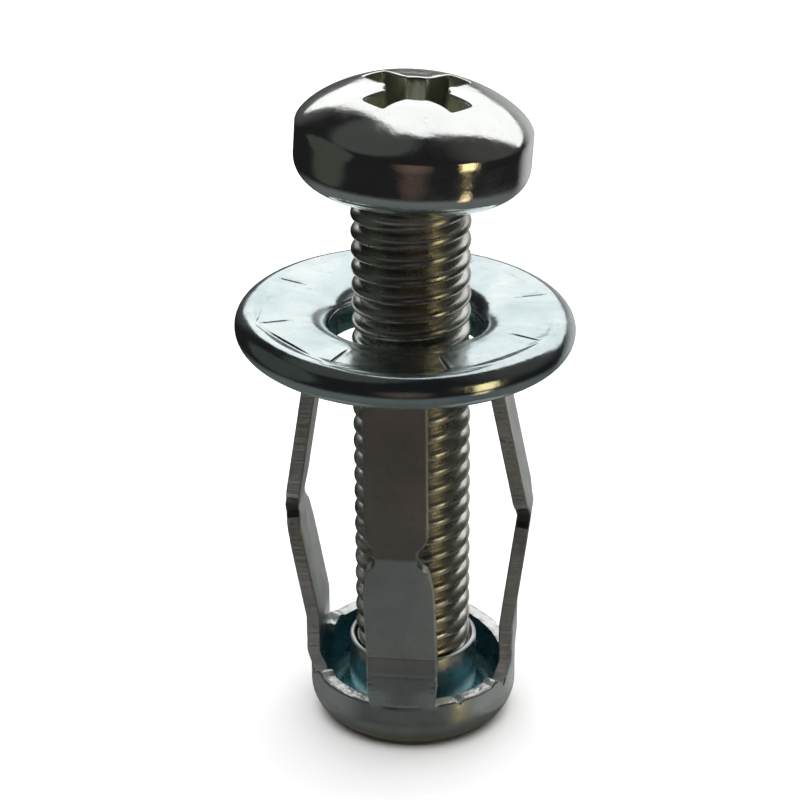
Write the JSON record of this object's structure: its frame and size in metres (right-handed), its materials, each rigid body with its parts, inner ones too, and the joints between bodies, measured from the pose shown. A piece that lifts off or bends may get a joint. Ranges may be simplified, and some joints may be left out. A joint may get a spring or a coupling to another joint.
{
  "type": "wall anchor",
  "caption": "Zinc-plated hollow-wall anchor: a pan-head cross-recess screw draws a threaded cup up under a round flange, and legs between them fold outwards behind the wall.",
  "frame": {"origin": "centre of the flange's underside, the face that seats on the wall, on the screw's axis", "axes": "+Z out of the wall along the screw towards its head, -Y towards the front leg, +X towards the right leg"},
  "size_m": [0.0142, 0.0142, 0.0289],
  "materials": {
    "screw_steel": "bright zinc plate, polished, with a faint warm tint",
    "flange_steel": "bright zinc plate, semi-bright, with a blue passivation tint",
    "cage_steel": "zinc plate, satin on the faces, coarse on the sheared edges"
  },
  "bodies": {
    "flange": {"flange_cover": "flange_steel", "cage_tabs": "cage_steel"},
    "screw": {"machine_screw": "screw_steel"},
    "nut": {"nut_cup": "cage_steel"},
    "lower_leg_front": {"lower_leg_front": "cage_steel"},
    "upper_leg_front": {"upper_leg_front": "cage_steel"},
    "lower_leg_right": {"lower_leg_right": "cage_steel"},
    "upper_leg_right": {"upper_leg_right": "cage_steel"},
    "lower_leg_back": {"lower_leg_back": "cage_steel"},
    "upper_leg_back": {"upper_leg_back": "cage_steel"},
    "lower_leg_left": {"lower_leg_left": "cage_steel"},
    "upper_leg_left": {"upper_leg_left": "cage_steel"}
  },
  "joints": [
    {"name": "nut_rise", "type": "slide", "parent": "flange", "child": "nut", "axis": [0, 0, 1], "range_m": [0, 0.0064]},
    {"name": "screw_turn", "type": "hinge", "parent": "flange", "child": "screw", "pos_m": [0, 0, 0], "axis": [0, 0, -1], "range_deg": [0, 2880]},
    {"name": "crease_front", "type": "hinge", "parent": "nut", "child": "lower_leg_front", "pos_m": [0, -0.00422, -0.01275], "axis": [1, 0, 0], "range_deg": [0, 69.8]},
    {"name": "knee_front", "type": "hinge", "parent": "lower_leg_front", "child": "upper_leg_front", "pos_m": [0, -0.00502, -0.0076], "axis": [-1, 0, 0], "range_deg": [0, 105.19]},
    {"name": "crease_right", "type": "hinge", "parent": "nut", "child": "lower_leg_right", "pos_m": [0.00422, 0, -0.01275], "axis": [0, 1, 0], "range_deg": [0, 69.8]},
    {"name": "knee_right", "type": "hinge", "parent": "lower_leg_right", "child": "upper_leg_right", "pos_m": [0.00502, 0, -0.0076], "axis": [0, -1, 0], "range_deg": [0, 105.19]},
    {"name": "crease_back", "type": "hinge", "parent": "nut", "child": "lower_leg_back", "pos_m": [0, 0.00422, -0.01275], "axis": [-1, 0, 0], "range_deg": [0, 69.8]},
    {"name": "knee_back", "type": "hinge", "parent": "lower_leg_back", "child": "upper_leg_back", "pos_m": [0, 0.00502, -0.0076], "axis": [1, 0, 0], "range_deg": [0, 105.19]},
    {"name": "crease_left", "type": "hinge", "parent": "nut", "child": "lower_leg_left", "pos_m": [-0.00422, 0, -0.01275], "axis": [0, -1, 0], "range_deg": [0, 69.8]},
    {"name": "knee_left", "type": "hinge", "parent": "lower_leg_left", "child": "upper_leg_left", "pos_m": [-0.00502, 0, -0.0076], "axis": [0, 1, 0], "range_deg": [0, 105.19]}
  ],
  "couplings": [
    {"joint": "screw_turn", "follows": "nut_rise", "rad_per_m": 7854},
    {"joint": "crease_front", "follows": "nut_rise", "rad_per_m": 190.35},
    {"joint": "knee_front", "follows": "nut_rise", "rad_per_m": 286.87},
    {"joint": "crease_right", "follows": "nut_rise", "rad_per_m": 190.35},
    {"joint": "knee_right", "follows": "nut_rise", "rad_per_m": 286.87},
    {"joint": "crease_back", "follows": "nut_rise", "rad_per_m": 190.35},
    {"joint": "knee_back", "follows": "nut_rise", "rad_per_m": 286.87},
    {"joint": "crease_left", "follows": "nut_rise", "rad_per_m": 190.35},
    {"joint": "knee_left", "follows": "nut_rise", "rad_per_m": 286.87}
  ]
}
